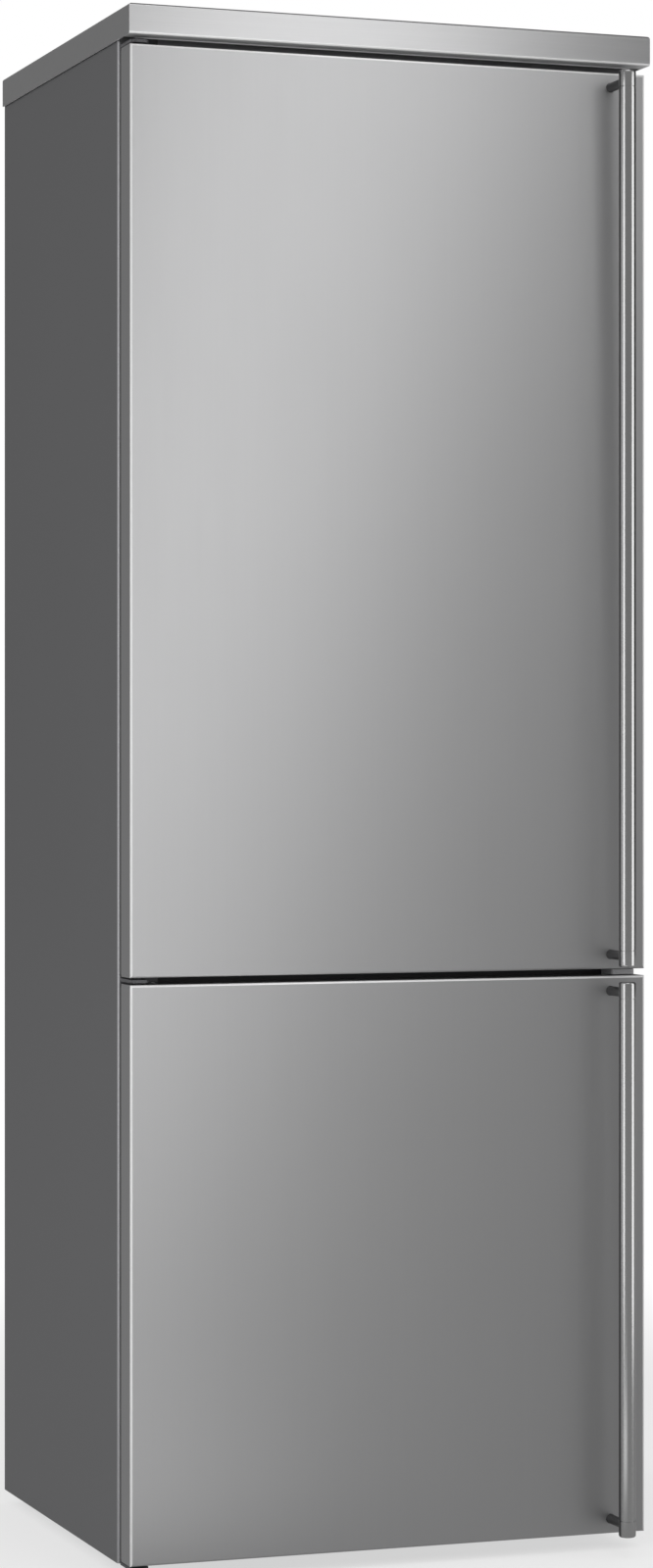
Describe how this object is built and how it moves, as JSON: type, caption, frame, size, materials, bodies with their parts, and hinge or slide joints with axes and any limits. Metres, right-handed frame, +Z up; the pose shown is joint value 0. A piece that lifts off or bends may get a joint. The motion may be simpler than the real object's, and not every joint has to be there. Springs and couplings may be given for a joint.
{
  "type": "bottom freezer refrigerator",
  "caption": "Free-standing refrigerator with a tall steel fridge door over a freezer door, vertical bar handles, thick steel top, shelves, drawers and a rear compressor bay.",
  "frame": {"origin": "middle of the overall footprint, on the floor", "axes": "+Z up, -Y to the front where the doors and handles are, +X to the right seen from the front"},
  "size_m": [0.704, 0.676, 1.96],
  "materials": {
    "stainless_steel": "vertically brushed stainless steel with a clear coat",
    "handle_steel": "satin stainless steel",
    "grey_paint": "fine-textured dark grey paint",
    "zinc_plate": "galvanised steel",
    "grey_zinc": "grey powder-coated steel",
    "black_enamel": "black enamel",
    "white_liner": "glossy white moulded plastic",
    "insulation": "pale yellow rigid foam",
    "grey_plastic": "light grey plastic",
    "black_plastic": "black plastic",
    "clear_plastic": "clear moulded plastic",
    "toughened_glass": "clear toughened glass",
    "silver_trim": "satin silver plastic trim",
    "seal_grey": "soft grey vinyl seal",
    "black_rubber": "black rubber",
    "copper": "bare copper tube",
    "bare_aluminium": "bare aluminium fins",
    "light_cover": "milky light cover"
  },
  "bodies": {
    "cabinet": {"outer_wrapper": "grey_paint", "back_panel": "zinc_plate", "base_plate": "zinc_plate", "bay_shroud": "zinc_plate", "cabinet_foam": "insulation", "fridge_liner": "white_liner", "freezer_liner": "white_liner", "front_rails": "grey_paint", "top_cap": "stainless_steel", "top_hinge": "grey_zinc", "middle_hinge": "grey_zinc", "bottom_hinge": "grey_zinc", "hinge_hole_cover": "grey_plastic", "hinge_screws": "zinc_plate", "glass_shelves": "toughened_glass", "shelf_trims": "silver_trim", "fridge_duct": "white_liner", "freezer_duct": "white_liner", "evaporator": "bare_aluminium", "fan_motors": "black_plastic", "control_panel": "grey_plastic", "led_strips": "light_cover", "compressor": "black_enamel", "compressor_grommets": "black_rubber", "terminal_box": "black_plastic", "drip_tray": "black_plastic", "refrigerant_pipes": "copper", "wall_spacers": "black_plastic"},
    "fridge_door": {"fridge_door_skin": "stainless_steel", "fridge_door_foam": "insulation", "fridge_door_liner": "white_liner", "fridge_door_seal": "seal_grey", "fridge_door_bushes": "black_plastic", "fridge_handle_bar": "handle_steel", "fridge_handle_mounts": "handle_steel", "dairy_balcony": "clear_plastic", "middle_balcony": "clear_plastic", "bottle_balcony": "clear_plastic"},
    "freezer_door": {"freezer_door_skin": "stainless_steel", "freezer_door_foam": "insulation", "freezer_door_liner": "white_liner", "freezer_door_seal": "seal_grey", "freezer_door_bushes": "black_plastic", "freezer_handle_bar": "handle_steel", "freezer_handle_mounts": "handle_steel"},
    "dairy_lid": {"dairy_lid": "clear_plastic"},
    "bottle_stop": {"bottle_stop": "silver_trim"},
    "vegetable_drawer": {"vegetable_drawer": "clear_plastic"},
    "chill_drawer": {"chill_drawer": "clear_plastic"},
    "freezer_drawer_lower": {"freezer_drawer_lower": "clear_plastic"},
    "freezer_drawer_middle": {"freezer_drawer_middle": "clear_plastic"},
    "freezer_drawer_upper": {"freezer_drawer_upper": "clear_plastic"},
    "cooling_button": {"cooling_button": "silver_trim"},
    "freezing_button": {"freezing_button": "silver_trim"},
    "fridge_fan": {"fridge_fan": "black_plastic"},
    "freezer_fan": {"freezer_fan": "black_plastic"},
    "front_foot_left": {"front_foot_left": "black_plastic"},
    "front_foot_right": {"front_foot_right": "black_plastic"},
    "roller_left": {"roller_left": "black_plastic"},
    "roller_right": {"roller_right": "black_plastic"}
  },
  "joints": [
    {"name": "fridge_door_hinge", "type": "hinge", "parent": "cabinet", "child": "fridge_door", "pos_m": [-0.332, -0.252, 1.3315], "axis": [0, 0, -1], "range_deg": [0, 115]},
    {"name": "freezer_door_hinge", "type": "hinge", "parent": "cabinet", "child": "freezer_door", "pos_m": [-0.332, -0.252, 0.3825], "axis": [0, 0, -1], "range_deg": [0, 115]},
    {"name": "dairy_lid_hinge", "type": "hinge", "parent": "fridge_door", "child": "dairy_lid", "pos_m": [0, -0.22, 1.716], "axis": [1, 0, 0], "range_deg": [0, 85]},
    {"name": "bottle_stop_slide", "type": "slide", "parent": "fridge_door", "child": "bottle_stop", "axis": [1, 0, 0], "range_m": [-0.22, 0.22]},
    {"name": "vegetable_drawer_slide", "type": "slide", "parent": "cabinet", "child": "vegetable_drawer", "axis": [0, -1, 0], "range_m": [0, 0.18]},
    {"name": "chill_drawer_slide", "type": "slide", "parent": "cabinet", "child": "chill_drawer", "axis": [0, -1, 0], "range_m": [0, 0.18]},
    {"name": "freezer_drawer_lower_slide", "type": "slide", "parent": "cabinet", "child": "freezer_drawer_lower", "axis": [0, -1, 0], "range_m": [0, 0.18]},
    {"name": "freezer_drawer_middle_slide", "type": "slide", "parent": "cabinet", "child": "freezer_drawer_middle", "axis": [0, -1, 0], "range_m": [0, 0.18]},
    {"name": "freezer_drawer_upper_slide", "type": "slide", "parent": "cabinet", "child": "freezer_drawer_upper", "axis": [0, -1, 0], "range_m": [0, 0.18]},
    {"name": "cooling_button_push", "type": "slide", "parent": "cabinet", "child": "cooling_button", "axis": [0, 0.7071, 0.7071], "range_m": [0, 0.001], "stiffness_N_per_m": 400, "springref_m": -0.001},
    {"name": "freezing_button_push", "type": "slide", "parent": "cabinet", "child": "freezing_button", "axis": [0, 0.7071, 0.7071], "range_m": [0, 0.001], "stiffness_N_per_m": 400, "springref_m": -0.001},
    {"name": "fridge_fan_spin", "type": "hinge", "parent": "cabinet", "child": "fridge_fan", "pos_m": [0, 0.241, 1.775], "axis": [0, 1, 0], "continuous": true},
    {"name": "freezer_fan_spin", "type": "hinge", "parent": "cabinet", "child": "freezer_fan", "pos_m": [0, 0.2145, 0.637], "axis": [0, 1, 0], "continuous": true},
    {"name": "front_foot_left_screw", "type": "slide", "parent": "cabinet", "child": "front_foot_left", "axis": [0, 0, -1], "range_m": [0, 0.012]},
    {"name": "front_foot_right_screw", "type": "slide", "parent": "cabinet", "child": "front_foot_right", "axis": [0, 0, -1], "range_m": [0, 0.012]},
    {"name": "roller_left_spin", "type": "hinge", "parent": "cabinet", "child": "roller_left", "pos_m": [-0.285, 0.284, 0.014], "axis": [1, 0, 0], "continuous": true},
    {"name": "roller_right_spin", "type": "hinge", "parent": "cabinet", "child": "roller_right", "pos_m": [0.285, 0.284, 0.014], "axis": [1, 0, 0], "continuous": true}
  ],
  "couplings": [
    {"joint": "vegetable_drawer_slide", "follows": "fridge_door_hinge", "m_per_rad": 0.08968},
    {"joint": "chill_drawer_slide", "follows": "fridge_door_hinge", "m_per_rad": 0.08968},
    {"joint": "freezer_drawer_lower_slide", "follows": "freezer_door_hinge", "m_per_rad": 0.08968},
    {"joint": "freezer_drawer_middle_slide", "follows": "freezer_door_hinge", "m_per_rad": 0.08968},
    {"joint": "freezer_drawer_upper_slide", "follows": "freezer_door_hinge", "m_per_rad": 0.08968}
  ]
}
